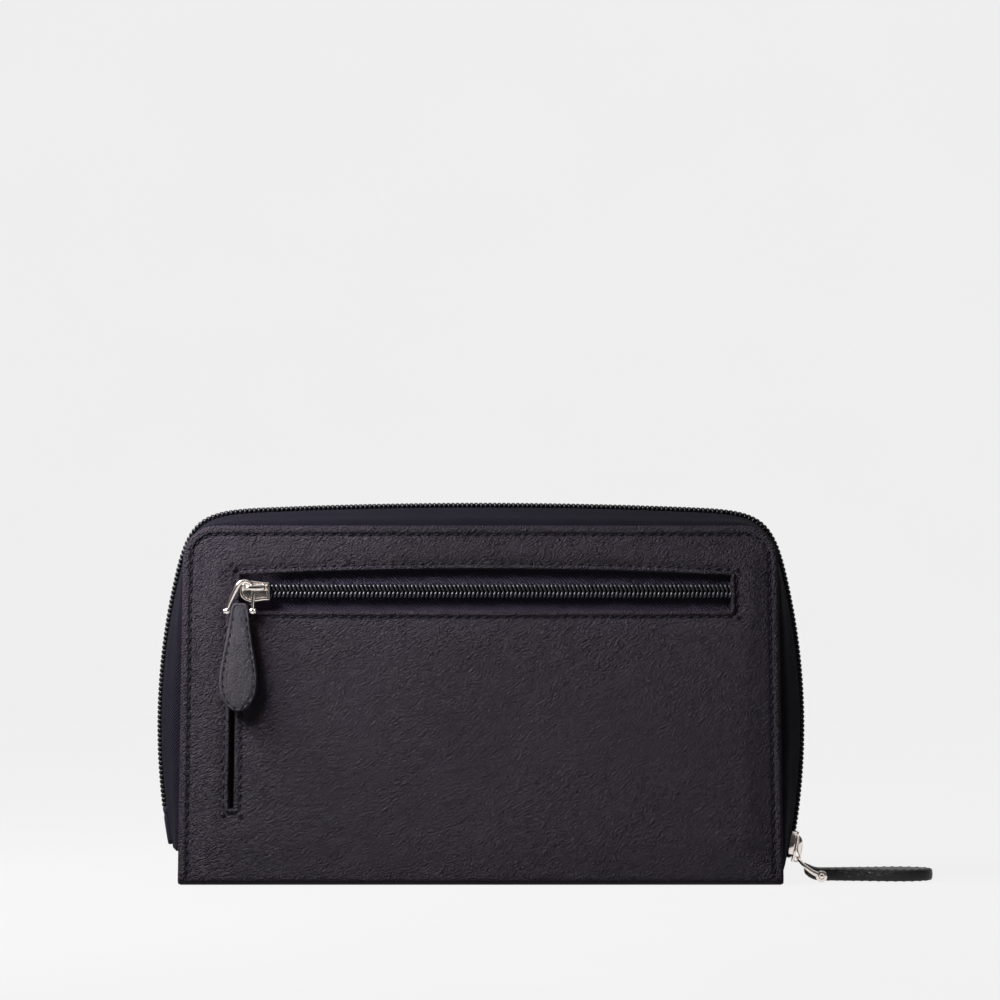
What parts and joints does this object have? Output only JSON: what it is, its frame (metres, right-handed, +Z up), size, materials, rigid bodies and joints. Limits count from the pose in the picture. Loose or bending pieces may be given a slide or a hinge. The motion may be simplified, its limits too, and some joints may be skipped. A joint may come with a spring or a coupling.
{
  "type": "zip around wallet",
  "caption": "Long zip around wallet on its spine: front cover with zipped pocket and slip pocket, inside card pockets and a zipped coin pouch between fan-fold sides.",
  "frame": {"origin": "middle of the flat underside of the spine, on which the wallet stands", "axes": "+X to the right along the spine, as seen from the front cover; +Y towards the back cover; +Z up from the spine to the zip"},
  "size_m": [0.2351, 0.0293, 0.1146],
  "materials": {
    "cover_leather": "fine-grained dark aubergine leather, low sheen",
    "tab_leather": "the same leather, padded and edge stitched",
    "zip_tape": "dark navy woven zip tape",
    "zip_coil": "near-black nylon zip coil with a soft sheen",
    "nickel": "polished nickel-plated cast metal and wire",
    "board": "stiff backing board, hidden",
    "foam": "thin padding, hidden",
    "pocket_leather": "thin smooth pocket leather",
    "lining": "dark plain lining cloth"
  },
  "bodies": {
    "back": {"back_card_pocket_1": "pocket_leather", "back_card_pocket_2": "pocket_leather", "back_card_pocket_3": "pocket_leather", "back_card_pocket_4": "pocket_leather", "back_cover": "cover_leather", "back_lining": "lining", "back_padding": "foam", "back_stiffener": "board", "gusset_back_left": "lining", "gusset_back_right": "lining", "main_coil_back": "zip_coil", "main_tape_back": "zip_tape", "spine": "cover_leather", "spine_board": "board", "spine_lining": "lining", "zip_end_tab": "cover_leather"},
    "front": {"front_card_pocket_1": "pocket_leather", "front_card_pocket_2": "pocket_leather", "front_card_pocket_3": "pocket_leather", "front_card_pocket_4": "pocket_leather", "front_cover": "cover_leather", "front_fold": "cover_leather", "front_lining": "lining", "front_stiffener": "board", "gusset_front_left": "lining", "gusset_front_right": "lining", "main_coil_front": "zip_coil", "main_tape_front": "zip_tape", "pocket_coil_lower": "zip_coil", "pocket_coil_upper": "zip_coil", "pocket_tape_lower": "zip_tape", "pocket_tape_upper": "zip_tape", "slip_pocket_backing": "lining", "zip_pocket_back_ply": "lining", "zip_pocket_front_ply": "lining"},
    "coin_pouch": {"pouch_back_wall": "lining", "pouch_base": "lining", "pouch_coil_back": "zip_coil", "pouch_coil_front": "zip_coil", "pouch_front_wall": "lining", "pouch_side_left": "lining", "pouch_side_right": "lining", "pouch_tape_back": "zip_tape", "pouch_tape_front": "zip_tape"},
    "main_slider": {"main_slider": "nickel"},
    "main_loop": {"main_pull_loop": "nickel", "main_pull_pin": "nickel"},
    "main_tab": {"main_pull_tab": "tab_leather"},
    "pocket_slider": {"pocket_slider": "nickel"},
    "pocket_loop": {"pocket_pull_loop": "nickel", "pocket_pull_pin": "nickel"},
    "pocket_tab": {"pocket_pull_tab": "tab_leather"},
    "pouch_slider": {"pouch_slider": "nickel"},
    "pouch_pull": {"pouch_pull": "nickel"}
  },
  "joints": [
    {"name": "cover_open", "type": "hinge", "parent": "back", "child": "front", "pos_m": [0, -0.0108, 0.0022], "axis": [1, 0, 0], "range_deg": [0, 45], "deforming": ["front_fold", "gusset_front_left", "gusset_front_right", "gusset_back_left", "gusset_back_right", "main_coil_front"]},
    {"name": "pouch_swing", "type": "hinge", "parent": "back", "child": "coin_pouch", "pos_m": [0, -0.0108, 0.0022], "axis": [1, 0, 0], "range_deg": [0, 22.5]},
    {"name": "main_zip_travel", "type": "hinge", "parent": "back", "child": "main_slider", "pos_m": [-0.102, 0, 0.047], "axis": [0, -1, 0], "range_deg": [0, 19], "deforming": ["main_coil_back"]},
    {"name": "main_loop_swing", "type": "hinge", "parent": "main_slider", "child": "main_loop", "pos_m": [0.09584, 0, 0.00712], "axis": [0, -1, 0], "range_deg": [-30, 85]},
    {"name": "main_tab_swing", "type": "hinge", "parent": "main_loop", "child": "main_tab", "pos_m": [0.1031, 0, 0.0018], "axis": [0, -1, 0], "range_deg": [-40, 5]},
    {"name": "pocket_zip_travel", "type": "slide", "parent": "front", "child": "pocket_slider", "axis": [1, 0, 0], "range_m": [0, 0.137], "deforming": ["pocket_coil_upper", "pocket_coil_lower"]},
    {"name": "pocket_loop_swing", "type": "hinge", "parent": "pocket_slider", "child": "pocket_loop", "pos_m": [-0.0703, -0.0149, 0.089], "axis": [0, 1, 0], "range_deg": [-25, 25]},
    {"name": "pocket_tab_lift", "type": "hinge", "parent": "pocket_loop", "child": "pocket_tab", "pos_m": [-0.07215, -0.0149, 0.0824], "axis": [-1, 0, 0], "range_deg": [0, 30]},
    {"name": "pouch_zip_travel", "type": "slide", "parent": "coin_pouch", "child": "pouch_slider", "axis": [1, 0, 0], "range_m": [0, 0.136], "deforming": ["pouch_coil_front", "pouch_coil_back"]},
    {"name": "pouch_pull_flip", "type": "hinge", "parent": "pouch_slider", "child": "pouch_pull", "pos_m": [-0.0661, 0, 0.0963], "axis": [0, -1, 0], "range_deg": [0, 165]}
  ],
  "couplings": [
    {"joint": "pouch_swing", "follows": "cover_open", "ratio": 0.5}
  ]
}
